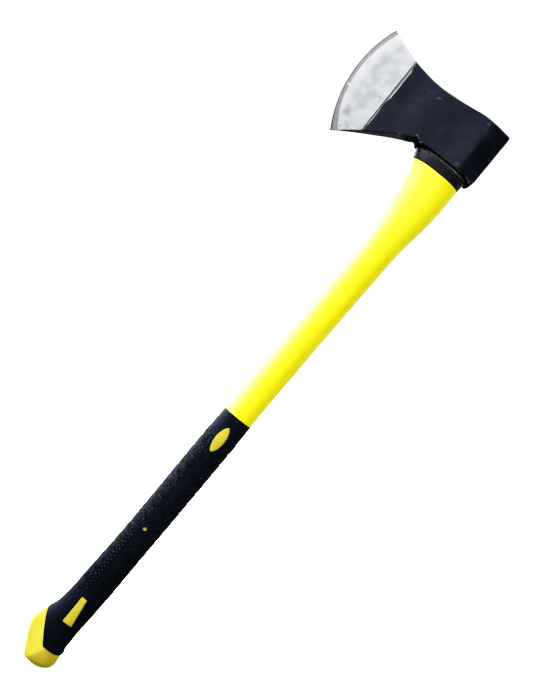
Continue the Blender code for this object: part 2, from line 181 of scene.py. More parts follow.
def columns_round(count):
    """Angles of the columns round a section, half a step off its middle plane."""
    return 2 * np.pi * (np.arange(count) + 0.5) / count


def solid_points(forward, across, up):
    return np.stack([-forward, across, up], -1)


def outward(points, centre):
    """Level unit directions from a centre to points."""
    out = points - centre
    out[:, 2] = 0
    return out / np.linalg.norm(out, axis=1, keepdims=True)


def grown(section, by):
    front, back, half = section
    return front + by, back - by, half + by


def between(low, high, share):
    return tuple(a + (b - a) * share for a, b in zip(low, high))


def ring(section, up, angles, rounds):
    """One section as points; up is a level, an array of levels or a function of forward distance."""
    forward, across = egg(section, angles, rounds)
    level = up(forward) if callable(up) else up
    return np.stack([-forward, across, np.broadcast_to(level, forward.shape)], -1)


def normals(grid):
    """Outward unit normals of a grid of rings that run round the axe, seen from outside."""
    along = np.gradient(grid, axis=0)
    around = np.roll(grid, -1, 1) - np.roll(grid, 1, 1)
    out = np.cross(along, around)
    length = np.linalg.norm(out, axis=-1, keepdims=True)
    return out / np.maximum(length, 1e-9)


def placed(name, data):
    made = bpy.data.objects.new(name, data)
    bpy.context.scene.collection.objects.link(made)
    return made


def build(name, points, faces, slot="", nodes=(), looks=(), sharp=40, spots=None, indices=None):
    """A piece of the axe from points in millimetres, riding on the root body."""
    mesh = bpy.data.meshes.new(name)
    mesh.from_pydata((np.asarray(points) * MM).tolist(), [], faces)
    for key, values in (spots or {}).items():
        layer = mesh.attributes.new(key, "FLOAT", "POINT")
        layer.data.foreach_set("value", np.asarray(values, np.float32).ravel())
    if indices is not None:
        mesh.polygons.foreach_set("material_index", np.asarray(indices, np.int32))
    bm = bmesh.new()
    bm.from_mesh(mesh)
    bmesh.ops.recalc_face_normals(bm, faces=bm.faces)
    bm.to_mesh(mesh)
    bm.free()
    made = placed(name, mesh)
    for look in looks:
        mesh.materials.append(look)
    mesh.shade_smooth()
    mesh.set_sharp_from_angle(angle=math.radians(sharp))
    if nodes:
        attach(made, ROOT)
        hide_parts(*nodes)
    return made


def quads(rows, columns, first=0, looped=False):
    """Faces of a grid of rings; looped joins the last ring to the first."""
    i, j = np.meshgrid(np.arange(rows - (0 if looped else 1)), np.arange(columns), indexing="ij")
    i, j = i.ravel(), j.ravel()
    low, high = i * columns, (i + 1) % rows * columns
    across = (j + 1) % columns
    return (np.stack([low + j, low + across, high + across, high + j], -1) + first).tolist()


def tube(rings, closed=False):
    """Points and faces of a skin over rings of equal count, capped unless it is a closed loop."""
    grid = np.asarray(rings)
    rows, columns = grid.shape[:2]
    faces = quads(rows, columns, looped=closed)
    if not closed:
        faces.append(list(range(columns)))
        faces.append(list(range((rows - 1) * columns, rows * columns)))
    return grid.reshape(-1, 3), faces


def cut(target, sharp, *cutters):
    """Cuts closed meshes out of a piece, removes them, and marks edges over an angle as sharp."""
    for cutter in cutters:
        modifier = target.modifiers.new(cutter.name, "BOOLEAN")
        modifier.operation = "DIFFERENCE"
        modifier.solver = "EXACT"
        modifier.object = cutter
    graph = bpy.context.evaluated_depsgraph_get()
    mesh = bpy.data.meshes.new_from_object(target.evaluated_get(graph))
    target.modifiers.clear()
    target.data = mesh
    mesh.set_sharp_from_angle(angle=math.radians(sharp))
    for cutter in cutters:
        bpy.data.objects.remove(cutter)


# ---- materials


class Graph:
    """The shader nodes of a material or a world, built from calls that return sockets."""

    def __init__(self, data, coordinates):
        data.use_nodes = True
        self.data, self.tree = data, data.node_tree
        self.place = self.add("TexCoord", out=coordinates)

    def put(self, socket, value):
        if isinstance(value, bpy.types.NodeSocket):
            self.tree.links.new(value, socket)
        elif isinstance(value, tuple) and len(value) == 3 and socket.type == "RGBA":
            socket.default_value = (*value, 1)
        else:
            socket.default_value = value

    def add(self, kind, out=0, settings=None, **values):
        node = self.tree.nodes.new("ShaderNode" + kind)
        for key, value in (settings or {}).items():
            setattr(node, key, value)
        for key, value in values.items():
            spot = int(key[1:]) if key[0] == "i" and key[1:].isdigit() else key.replace("_", " ")
            self.put(node.inputs[spot], value)
        return node.outputs[out]

    def math(self, operation, a, b, clamp=False):
        return self.add("Math", settings={"operation": operation, "use_clamp": clamp}, i0=a, i1=b)

    def times(self, a, b, clamp=False):
        return self.math("MULTIPLY", a, b, clamp)

    def plus(self, a, b, clamp=False):
        return self.math("ADD", a, b, clamp)

    def span(self, value, low, high, to_low=0.0, to_high=1.0):
        return self.add("MapRange", settings={"interpolation_type": "SMOOTHSTEP"}, Value=value,
                        From_Min=low, From_Max=high, To_Min=to_low, To_Max=to_high)


class Look(Graph):
    """A procedural material on a Principled BSDF."""

    def __init__(self, name, **constants):
        super().__init__(bpy.data.materials.new(name), "Object")
        self.set(**constants)

    def set(self, **values):
        for key, value in values.items():
            self.put(self.tree.nodes["Principled BSDF"].inputs[key.replace("_", " ")], value)
        return self

    def stretched(self, scale):
        if not scale:
            return self.place
        return self.add("VectorMath", settings={"operation": "MULTIPLY"}, i0=self.place, i1=scale)

    def noise(self, size, detail=3, rough=0.5, stretch=None):
        """Noise from 0 to 1 with features of about that size in millimetres."""
        place = self.stretched(stretch)
        return self.add("TexNoise", Vector=place, Scale=1 / (size * MM), Detail=detail, Roughness=rough)

    def cells(self, size, stretch=None, feature="F1"):
        """Distance across scattered cells of about that size in millimetres."""
        place = self.stretched(stretch)
        return self.add("TexVoronoi", out="Distance", settings={"feature": feature}, Vector=place,
                        Scale=1 / (size * MM))

    def mix(self, share, a, b):
        return self.add("Mix", out=2, settings={"data_type": "RGBA"}, i0=share, i6=a, i7=b)

    def spot(self, name):
        return self.add("Attribute", out="Fac", settings={"attribute_name": name})

    def bump(self, height, distance, normal=None, strength=1.0):
        """Bump from a height of 0 to 1, standing that many millimetres."""
        values = {"Height": height, "Distance": distance * MM, "Strength": strength}
        if normal:
            values["Normal"] = normal
        return self.add("Bump", **values)


def shaft_yellow():
    """Glossy moulded yellow: orange peel, faint flow marks, fine scratches, handling dirt and a painted
    highlight that pales the front.
    """
    look = Look("shaft_yellow", Specular_IOR_Level=0.6)
    flow = look.noise(9, 4, 0.55, stretch=(1, 1, 0.12))
    grime = look.noise(3.2, 5, 0.65)
    scratch = look.span(look.cells(7, stretch=(1, 1, 0.08), feature="DISTANCE_TO_EDGE"), 0.0, 0.02, 1, 0)
    colour = look.mix(look.span(flow, 0.35, 0.7), (0.93, 0.82, 0.003), (0.96, 0.87, 0.006))
    # painted highlight: the front of the shaft is painted a paler yellow
    colour = look.mix(look.spot("front_highlight"), colour, (0.96, 0.9, 0.12))
    dirt = look.times(look.span(grime, 0.6, 0.78), look.spot("dirt"), clamp=True)
    colour = look.mix(dirt, colour, (0.5, 0.38, 0.03))
    rough = look.span(flow, 0.2, 0.8, 0.34, 0.42)
    look.set(Base_Color=colour, Roughness=look.plus(rough, look.times(grime, 0.06)))
    peel = look.bump(look.noise(1.4, 2), 0.02)
    peel = look.bump(scratch, -0.015, peel, 0.5)
    return look.set(Normal=look.bump(flow, 0.05, peel)).data


def knob_yellow():
    """Satin yellow of the butt and the windows, coloured darker than the shaft's as painted shade: fine
    spark grain and scuffs at the rims.
    """
    look = Look("knob_yellow", Specular_IOR_Level=0.4)
    cloud = look.noise(11, 4, 0.6)
    grain = look.noise(0.45, 2, 0.6)
    # painted shade: the shaft's plastic coloured darker and duller
    colour = look.mix(look.span(cloud, 0.3, 0.75), (0.515, 0.424, 0.043), (0.575, 0.48, 0.058))
    worn = look.times(look.span(look.noise(1.6, 4, 0.7), 0.5, 0.66), look.spot("rim"), clamp=True)
    colour = look.mix(worn, colour, (0.55, 0.44, 0.06))
    look.set(Base_Color=colour, Roughness=look.span(cloud, 0.2, 0.8, 0.42, 0.56))
    return look.set(Normal=look.bump(grain, 0.04, look.bump(cloud, 0.08))).data


def grip_rubber():
    """Soft black elastomer: leather-like hatching on the textured bands, with painted highlights on its
    ridges and painted shade in its lines, a dusty bloom, painted highlights on the raised tops, painted
    shade round the studs and towards the butt, satin sheen.
    """
    look = Look("grip_rubber", Specular_IOR_Level=0.17, Specular_Tint=(0.84, 0.92, 1.0))
    cloud = look.noise(14, 4, 0.6)
    fine = look.noise(0.5, 3, 0.6)
    hatch = look.cells(2.4, stretch=(1.0, 1.0, 0.7), feature="DISTANCE_TO_EDGE")
    texture = look.spot("textured")
    colour = look.mix(look.span(cloud, 0.3, 0.7), (0.0082, 0.0105, 0.0175), (0.0112, 0.014, 0.0225))
    dust_and_highlight = look.times(look.span(look.noise(2.4, 5, 0.7), 0.5, 0.75), 0.35)
    # painted highlight: the raised tops of the scales and studs are lightened along with the dust
    dust_and_highlight = look.plus(dust_and_highlight, look.times(look.spot("raised"), 0.8), clamp=True)
    colour = look.mix(dust_and_highlight, colour, (0.055, 0.06, 0.078))
    # painted shade in the hatch lines and painted highlight on the ridges between them
    veins = look.times(look.span(hatch, 0.03, 0.12, 1, 0), texture)
    ridge_highlight = look.times(look.span(hatch, 0.16, 0.36), texture)
    ridge_highlight = look.times(ridge_highlight, look.span(cloud, 0.3, 0.7, 0.35, 1))
    colour = look.mix(ridge_highlight, colour, (0.045, 0.051, 0.068))
    # painted shade: darker towards the butt
    colour = look.mix(look.times(look.spot("shaded_lower_grip"), 0.35), colour, (0.0035, 0.005, 0.009))
    # painted shade in the hatch lines and round the studs
    shade = look.math("MAXIMUM", veins, look.spot("stud_shade"))
    colour = look.mix(shade, colour, (0.002, 0.0024, 0.0034))
    rough = look.span(cloud, 0.2, 0.8, 0.5, 0.62)
    rough = look.plus(rough, look.times(texture, 0.06))
    rough = look.plus(rough, look.times(look.spot("shaded_lower_grip"), 0.25))
    look.set(Base_Color=colour, Roughness=rough)
    base = look.bump(fine, 0.03)
    lines = look.times(look.span(hatch, 0.0, 0.22), texture)
    return look.set(Normal=look.bump(lines, 0.45, look.bump(cloud, 0.08, base))).data


def chipped(look, amount):
    """Share of bare metal showing through paint: along the rims, and in a few small chips."""
    fray = look.noise(1.7, 5, 0.7)
    rim = look.times(look.span(fray, 0.6, 0.68), look.spot("rim"), clamp=True)
    spots = look.span(look.cells(31), 0.02, 0.035, 1, 0)
    spots = look.times(spots, look.span(fray, 0.42, 0.5), clamp=True)
    return look.times(look.math("MAXIMUM", rim, spots), amount, clamp=True)


def head_paint():
    """Blue-black stove enamel over a forging: hammer scale underneath, scuffs, chips, dusting and painted
    shade on the underside.
    """
    look = Look("head_paint", Specular_IOR_Level=0.5, Specular_Tint=(0.88, 0.9, 0.98))
    cloud = look.noise(26, 5, 0.6)
    scale = look.noise(2.6, 4, 0.6)
    colour = look.mix(look.span(cloud, 0.3, 0.72), (0.006, 0.0076, 0.016), (0.0095, 0.0112, 0.021))
    scuff = look.times(look.span(look.noise(1.9, 6, 0.75, stretch=(1, 1, 0.5)), 0.52, 0.72),
                      look.span(look.noise(17, 3), 0.5, 0.66), clamp=True)
    scuff = look.plus(scuff, look.times(look.spot("rubbed"),
                                              look.span(look.noise(1.5, 5, 0.7), 0.42, 0.62)), clamp=True)
    colour = look.mix(look.times(scuff, 0.25), colour, (0.05, 0.055, 0.07))
    bare = chipped(look, 0.7)
    bare = look.math("MAXIMUM", bare, look.times(look.spot("fleck"), 0.8))
    colour = look.mix(bare, colour, (0.3, 0.3, 0.31))
    rough = look.span(cloud, 0.25, 0.8, 0.27, 0.35)
    rough = look.plus(rough, look.times(scuff, 0.15))
    # painted shade: the underside is painted darker, and made rougher and less glossy
    under = look.spot("under")
    colour = look.mix(look.times(under, 0.8), colour, (0.004, 0.005, 0.005))
    rough = look.plus(rough, look.times(under, 0.4), clamp=True)
    gloss = look.math("SUBTRACT", 0.5, look.times(under, 0.42))
    metal = look.times(bare, 0.8)
    look.set(Base_Color=colour, Roughness=rough, Metallic=metal, Specular_IOR_Level=gloss)
    normal = look.bump(look.noise(6.5, 3, 0.5), 0.06)
    normal = look.bump(scale, 0.018, normal)
    return look.set(Normal=look.bump(bare, -0.08, look.bump(look.noise(0.7, 3), 0.005, normal))).data


def ground_steel():
    """Ground and polished bit: grinding lines, clouded reflections, stains, a coarser edge bevel, a painted
    highlight at the nick and a dark line of painted shade along the edge.
    """
    look = Look("ground_steel", Specular_IOR_Level=0.12)
    cloud = look.noise(13, 4, 0.55)
    blot = look.noise(30, 3, 0.5)
    lines = look.noise(1.0, 5, 0.7, stretch=(0.9, 0.9, 0.03))
    bevel = look.spot("bevel")
    stain = look.times(look.span(look.noise(5, 5, 0.65), 0.56, 0.74), look.spot("stain"), clamp=True)
    colour = look.mix(look.span(cloud, 0.32, 0.7), (0.62, 0.624, 0.638), (0.74, 0.744, 0.758))
    colour = look.mix(look.times(look.span(blot, 0.5, 0.7), 0.35), colour, (0.54, 0.555, 0.555))
    colour = look.mix(look.times(look.spot("honed"), 0.6), colour, (0.92, 0.925, 0.94))
    colour = look.mix(look.times(bevel, 0.95), colour, (0.21, 0.21, 0.215))
    # painted highlight: a bright spot at the nick in the bevel
    colour = look.mix(look.spot("scratch"), colour, (0.85, 0.85, 0.86))
    # painted shade: near black along the cutting edge, and darker over the strip by the grind line
    colour = look.mix(look.spot("lip"), colour, (0.012, 0.012, 0.014))
    colour = look.mix(stain, colour, (0.42, 0.41, 0.38))
    colour = look.mix(look.spot("bloom"), colour, (0.4, 0.43, 0.42))
    rough = look.plus(look.span(cloud, 0.2, 0.8, 0.16, 0.24), look.times(bevel, 0.16))
    dull = look.math("MAXIMUM", bevel, look.spot("lip"))
    metal = look.math("SUBTRACT", 0.78, look.times(dull, 0.61))
    look.set(Base_Color=colour, Roughness=rough, Metallic=metal)
    normal = look.bump(lines, 0.02)
    return look.set(Normal=look.bump(cloud, 0.035, normal)).data


def dark_groove():
    """Bottom of the groove between paint and grind: soot, paint and grinding dust."""
    look = Look("groove_dirt", Specular_IOR_Level=0.2)
    grit = look.noise(0.8, 5, 0.7)
    look.set(Base_Color=look.mix(look.span(grit, 0.4, 0.7), (0.006, 0.006, 0.008), (0.07, 0.07, 0.075)),
             Roughness=look.span(grit, 0.3, 0.7, 0.55, 0.75))
    return look.set(Normal=look.bump(grit, 0.1)).data


def collar_plastic():
    """Hard moulded collar: fine grain, slight purple bloom and scuffed shoulder."""
    look = Look("collar_plastic", Specular_IOR_Level=0.3)
    cloud = look.noise(8, 4, 0.6)
    grain = look.noise(0.5, 3, 0.6)
    colour = look.mix(look.span(cloud, 0.3, 0.7), (0.0105, 0.0102, 0.0155), (0.016, 0.0155, 0.0235))
    worn = look.times(look.span(look.noise(1.4, 5, 0.7), 0.48, 0.64), look.spot("rim"), clamp=True)
    colour = look.mix(worn, colour, (0.035, 0.034, 0.042))
    look.set(Base_Color=colour, Roughness=look.span(cloud, 0.2, 0.8, 0.4, 0.55))
    return look.set(Normal=look.bump(grain, 0.04, look.bump(cloud, 0.1))).data


def cast_resin():
    """Cured bonding resin: pale greenish, cloudy, with bubbles and drag marks."""
    look = Look("cast_resin", Subsurface_Weight=0.15, Subsurface_Scale=0.003, Specular_IOR_Level=0.5)
    cloud = look.noise(4, 5, 0.65)
    bubbles = look.span(look.cells(2.2), 0.1, 0.2, 1, 0)
    colour = look.mix(look.span(cloud, 0.35, 0.7), (0.2, 0.22, 0.18), (0.33, 0.355, 0.31))
    colour = look.mix(look.times(bubbles, 0.4), colour, (0.75, 0.75, 0.6))
    look.set(Base_Color=colour, Roughness=look.span(cloud, 0.2, 0.8, 0.22, 0.5))
    return look.set(Normal=look.bump(bubbles, -0.15, look.bump(cloud, 0.3))).data


def glass_fibre():
    """Sawn end of the pultruded core: bundles of fibre in resin, with saw marks."""
    look = Look("glass_fibre", Specular_IOR_Level=0.4)
    bundles = look.cells(0.9)
    cloud = look.noise(5, 4, 0.6)
    colour = look.mix(look.span(bundles, 0.1, 0.6), (0.45, 0.47, 0.35), (0.22, 0.24, 0.15))
    colour = look.mix(look.times(look.span(cloud, 0.45, 0.7), 0.5), colour, (0.16, 0.16, 0.11))
    look.set(Base_Color=colour, Roughness=look.span(cloud, 0.2, 0.8, 0.5, 0.7))
    saw = look.noise(0.8, 3, 0.6, stretch=(0.15, 1, 1))
    return look.set(Normal=look.bump(saw, 0.1, look.bump(bundles, 0.08))).data


# ---- grip and butt


def grip_lines(up, inset=0.0):
    section = track(GRIP_FRONT, up), track(GRIP_BACK, up), track(GRIP_HALF, up)
    return grown(section, -inset)


def shaft_lines(up):
    return track(SHAFT_FRONT, up), track(SHAFT_BACK, up), track(SHAFT_HALF, up)


def boundary(forward):
    """Level in side view of the line between the butt and the sleeve."""
    return GRIP_FOOT + np.maximum(0, forward - BOUNDARY_CORNER) * BOUNDARY_RISE


def foot_of(angles, inset=0.0):
    """Level at which the skin meets the boundary, for each angle round the section."""
    below = lambda up: up < boundary(egg(grip_lines(up, inset), angles, GRIP_ROUND)[0])
    return halved(np.full(angles.shape, 15.0), np.full(angles.shape, 75.0), below)


def across_at(forward, up, inset=0.0):
    """Half thickness of the grip's skin at a point in side view."""
    front, back, half = grip_lines(up, inset)
    middle = (front + back) / 2
    reach = np.where(forward > middle, front - middle, middle - back)
    share = np.clip(np.abs(forward - middle) / reach, 0, 1)
    return half * (1 - share ** GRIP_ROUND[0]) ** (1 / GRIP_ROUND[0])


def lens_outline(grow, count=64):
    """Almond outline: sides that bow like a lens's, with the tips a little rounded."""
    half_length, half_width = LENS_SIZE[0] / 2 + grow, LENS_SIZE[1] / 2 + grow
    angle = 2 * np.pi * np.arange(count) / count
    along = np.sin(angle)
    bow = (1 - along**2) ** (1 / LENS_ROUND) * np.sign(np.cos(angle))
    return np.stack([LENS_CENTRE[0] + bow * half_width, LENS_CENTRE[1] + along * half_length], -1)


def pip_outline(grow, count=40):
    angle = 2 * np.pi * np.arange(count) / count
    radius = PIP_DIAMETER / 2 + grow
    return np.stack([PIP_CENTRE[0] + radius * np.cos(angle), PIP_CENTRE[1] + radius * np.sin(angle)], -1)


def taper_outline(grow, count=15):
    """The tapered window with small corner radii, as points round it."""
    corners = np.array(TAPER) + grow * np.array(((1, -1), (1, 1), (-1, 1), (-1, -1)))
    radius = 0.45 + grow
    points = []
    for k, corner in enumerate(corners):
        before = corners[k - 1] - corner
        after = corners[(k + 1) % 4] - corner
        start = corner + before / np.linalg.norm(before) * radius
        end = corner + after / np.linalg.norm(after) * radius
        for t in (0, 0.25, 0.5, 0.75, 1):
            points.append((1 - t) ** 2 * start + 2 * t * (1 - t) * corner + t * t * end)
        stop = corners[(k + 1) % 4] - after / np.linalg.norm(after) * radius
        for t in np.arange(1, count) / count:
            points.append(end + (stop - end) * t)
    return np.array(points)


WINDOWS = (("lens", lens_outline), ("pip", pip_outline), ("taper", taper_outline))


def window_distance(forward, up):
    """Distance in side view to the nearest window's outline, negative inside."""
    df, du = np.abs(forward - LENS_CENTRE[0]), np.abs(up - LENS_CENTRE[1])
    edge = LENS_SIZE[1] / 2 * np.clip(1 - (2 * du / LENS_SIZE[0]) ** 2, 0, 1) ** (1 / LENS_ROUND)
    lens = np.maximum(df - edge, du - LENS_SIZE[0] / 2)
    pip = np.hypot(forward - PIP_CENTRE[0], up - PIP_CENTRE[1]) - PIP_DIAMETER / 2
    slope = (TAPER[2][0] - TAPER[3][0]) / (TAPER[2][1] - TAPER[3][1])
    back = (TAPER[3][0] + slope * (up - TAPER[3][1]) - forward) / math.hypot(1, slope)
    taper = np.maximum.reduce([forward - TAPER[0][0], TAPER[0][1] - up, up - TAPER[1][1], back])
    return np.minimum.reduce([lens, pip, taper])


SCALE_PITCH, SCALE_FOOT, SCALE_TOP = 14.2, 103.5, 331.0
STUD_PITCH, STUD_RADIUS, STUD_HEIGHT = 5.07, 1.35, 1.0
# Rows of studs as (forward, phase, lowest, highest, share of the full height)
STUD_ROWS = ((8.7, 0.0, 104, 188, 1.0), (11.7, 0.5, 106, 188, 1.0), (9.0, 0.25, 190, 300, 0.4),
             (-5.2, 0.0, 104, 190, 0.4), (-8.0, 0.5, 104, 300, 0.35))
GRIP_SHARP = 50  # degrees above which an edge of the sleeve is shaded sharp


def scales(forward, up, girth):
    """Height of the overlapping scales on the front and back of the grip, and where they lie.

    girth is the distance round the section from the middle of the front or the back.
    """
    front = forward > 0
    inner = np.where(front, 5.6 + 6.8 * (1 - smooth(180, 200, up)), 10.0)
    out = np.abs(forward) - inner
    bow = np.where(front, -0.02, -0.024) * girth**2
    turn = (up - SCALE_FOOT - bow) / SCALE_PITCH
    t = turn - np.floor(turn)
    scallop = 2.2 * (1 - (2 * t - 1) ** 2) - 0.6
    zone = smooth(-0.6, 0.9, out + scallop - 1.2) * smooth(SCALE_FOOT, SCALE_FOOT + 1.5, up - bow)
    zone = zone * (1 - smooth(SCALE_TOP - 1.5, SCALE_TOP, up - bow))
    body = smooth(0, 0.1, t) * (0.75 + 0.25 * t) * (1 - smooth(0.91, 1.0, t))
    fan = np.sin(2 * np.pi * (girth / 2.7 + 0.9 * np.sin(np.pi * t)))
    veins = np.sin(2 * np.pi * (up / 2.3 + girth * 0.16))
    return zone * body, zone, zone * (0.5 * fan + 0.5 * veins)


def studs(forward, across, up):
    """Height of the staggered double row of studs beside the front scales, and of the fainter back row, and
    a ring of painted shade round each stud.
    """
    total, shade_rings = 0, 0
    for place, phase, low, high, share in STUD_ROWS:
        turn = up / STUD_PITCH - phase
        along = (turn - np.round(turn)) * STUD_PITCH
        level = (np.round(turn) + phase) * STUD_PITCH
        depth = across_at(place, level)
        distance = np.sqrt((forward - place) ** 2 + (np.abs(across) - depth) ** 2 + along**2)
        dome = np.clip(1 - (distance / STUD_RADIUS) ** 2, 0, 1) ** 0.7
        inside = share * smooth(low - 1, low + 1, up) * (1 - smooth(high - 1, high + 1, up))
        total = np.maximum(total, dome * inside)
        # painted shade: a dark ring round the foot of each stud
        shade_rings = np.maximum(shade_rings, bell(distance - STUD_RADIUS, 0.35, 0.55) * inside)
    return total, shade_rings


def make_grip(look):
    """The soft sleeve: scales, studs, rounded ends, a lip at its foot and rims round the windows."""
    columns, slanted, even, level_from = 176, 62, 470, 72  # rings lie level above level_from
    angles = columns_round(columns)
    foot, top = foot_of(angles) + GAP / 2, GRIP_TOP - GAP / 2
    shares = np.linspace(0, 1, slanted)[:, None]
    level_low = foot * (1 - shares) + level_from * shares
    level_high = np.broadcast_to(np.linspace(level_from, top, even)[1:, None], (even - 1, columns))
    up = np.concatenate([level_low, level_high])
    forward, across = egg(grip_lines(up), angles, GRIP_ROUND)
    grid = solid_points(forward, across, up)
    step = np.linalg.norm(np.roll(grid, -1, 1) - grid, axis=-1)
    girth = np.cumsum(step, 1) - step / 2 - step[:, :1] / 2
    whole = step.sum(1, keepdims=True)
    front_girth = np.minimum(girth, whole - girth)
    girth = np.where(forward > 0, front_girth, whole / 2 - front_girth)
    rise, zone, grain = scales(forward, up, girth)
    dots, shade_rings = studs(forward, across, up)
    from_foot, from_top = up - foot, top - up
    window = window_distance(forward, up)
    height = zone * (1.55 * rise - 1.0) + 0.28 * grain * zone + STUD_HEIGHT * dots * (1 - 0.4 * zone)
    lip = (1 - smooth(1.8, 4.5, from_foot)) * smooth(-4, 8, -forward)
    height += 0.85 * lip + 0.2 * (1 - smooth(2, 9, from_foot))
    height += 0.28 * bell(window, 1.3, 0.9)
    height -= 0.35 * bell(np.maximum(window, 0), 0, 0.55)
    height += 0.07 * noise(grid, 9.0, 3) + 0.03 * noise(grid, 2.5, 4)
    for edge, radius in ((from_foot, 0.6), (from_top, 0.8)):
        height -= rounded(edge, radius)
    skin = grid + normals(grid) * height[..., None]
    inner_up = np.concatenate([up[:slanted:6], up[slanted::22], up[-1:]])
    inner_forward, inner_across = egg(grip_lines(inner_up, SLEEVE_WALL), angles, GRIP_ROUND)
    inner = solid_points(inner_forward, inner_across, inner_up)
    rings = np.concatenate([skin, inner[::-1]])
    points, faces = tube(rings, closed=True)
    # spots for the rubber: a painted highlight on the raised tops, painted shade round the studs and darker
    # towards the butt
    spots = {"textured": zone, "raised": 0.3 * rise * (1 + grain) + dots,
             "stud_shade": np.clip(shade_rings - dots, 0, 1), "shaded_lower_grip": 1 - smooth(110, 230, up)}
    pad = np.zeros((len(inner), columns))
    spots = {key: np.concatenate([values, pad]) for key, values in spots.items()}
    made = build("soft_grip", points, faces, "grip_rubber", ("grip_sleeve",), [look],
                 sharp=GRIP_SHARP, spots=spots)
    cutters = []
    for name, outline in WINDOWS:
        shape = outline(GAP)
        rings = [solid_points(shape[:, 0], np.full(len(shape), y), shape[:, 1]) for y in (-30, 30)]
        cutters.append(build("cut_" + name, *tube(rings)))
    cut(made, GRIP_SHARP, *cutters)


PAD_RECESS = {"lens": 0.1, "pip": 1.2, "taper": 0.1}
PAD_CROWN = 0.3
# The rounded rim of a pad as (share of the outline, height, wear), from its foot to its flat
PAD_RIM = ((1.0, -3.4, 0), (1.0, -0.55, 0.6), (0.995, -0.15, 1), (0.975, 0.1, 1), (0.93, 0.26, 0.6),
           (0.86, PAD_CROWN, 0.2))
PAD_FLAT = tuple((share, PAD_CROWN, 0) for share in (0.75, 0.6, 0.45, 0.3, 0.15, 0.05))


def make_pads(look):
    """The raised yellow islands that fill the windows on both cheeks."""
    for name, outline in WINDOWS:
        shape = outline(-0.05)
        centre = shape.mean(0)
        for side, label in ((-1, "near"), (1, "far")):
            rings, rim = [], []
            for share, lift, worn in PAD_RIM + PAD_FLAT:
                shrink = 1 - (1 - share) * min(1, 6 / np.ptp(shape[:, 1])) if share > 0.8 else share
                at = centre + (shape - centre) * shrink
                depth = across_at(at[:, 0], at[:, 1]) + lift - PAD_RECESS[name]
                rings.append(solid_points(at[:, 0], side * depth, at[:, 1]))
                rim.append(worn)
            build(f"window_{name}_{label}", *tube(rings), "yellow_plastic", ("handle_jacket",), [look],
                  spots={"rim": np.repeat(rim, len(shape))})


KNOB_RIDGE, KNOB_SLANT = (15.2, 0.54), 0.42  # line between the flat cheek and the front facet, and its slant


def make_knob(look):
    """The butt: flat end with a rounded rim, swelling skin, and a root tucked under the sleeve."""
    columns = 160
    angles = columns_round(columns)
    end = foot_of(angles) - GAP / 2
    first = ring(grip_lines(0), 0.0, angles, GRIP_ROUND)
    centre = first.mean(0)
    rings = [centre + (first - centre) * s for s in (0.06, 0.25, 0.45, 0.62, 0.76, 0.87, 0.95)]
    shares = np.linspace(0, 1, 72)[:, None]
    up = end * (shares ** 1.25)
    forward, across = egg(grip_lines(up), angles, GRIP_ROUND)
    grid = solid_points(forward, across, up)
    lift = 0.1 * noise(grid, 10, 6) + 0.03 * noise(grid, 3, 7)
    ridge = KNOB_RIDGE[0] - KNOB_RIDGE[1] * up
    past = np.clip((forward - ridge) / (track(GRIP_FRONT, up) - ridge), 0, 1)
    facet = across_at(np.minimum(ridge, forward), up) * (1 - KNOB_SLANT * past)
    grid[..., 1] = np.sign(grid[..., 1]) * -np.logaddexp(-3 * np.abs(grid[..., 1]), -3 * facet) / 3
    grid = grid + normals(grid) * (lift * smooth(0, 2, up))[..., None]
    grid = grid - normals(grid) * rounded(end - up, 0.7)[..., None]
    rings += list(grid)
    for lift, inset in ((0.05, 1.6), (0.2, 2.9), (9.0, 2.9)):
        forward, across = egg(grip_lines(end + lift, inset), angles, GRIP_ROUND)
        rings.append(solid_points(forward, across, end + lift))
    rim = np.concatenate([np.zeros(6 * columns), np.full(columns, 0.7),
                          (np.maximum(1 - smooth(0, 3, up), 0.8 * (1 - smooth(0, 2.5, end - up)))).ravel(),
                          np.zeros(3 * columns)])
    return build("butt_knob", *tube(rings), "yellow_plastic", ("handle_jacket",), [look], sharp=35,
                 spots={"rim": rim})


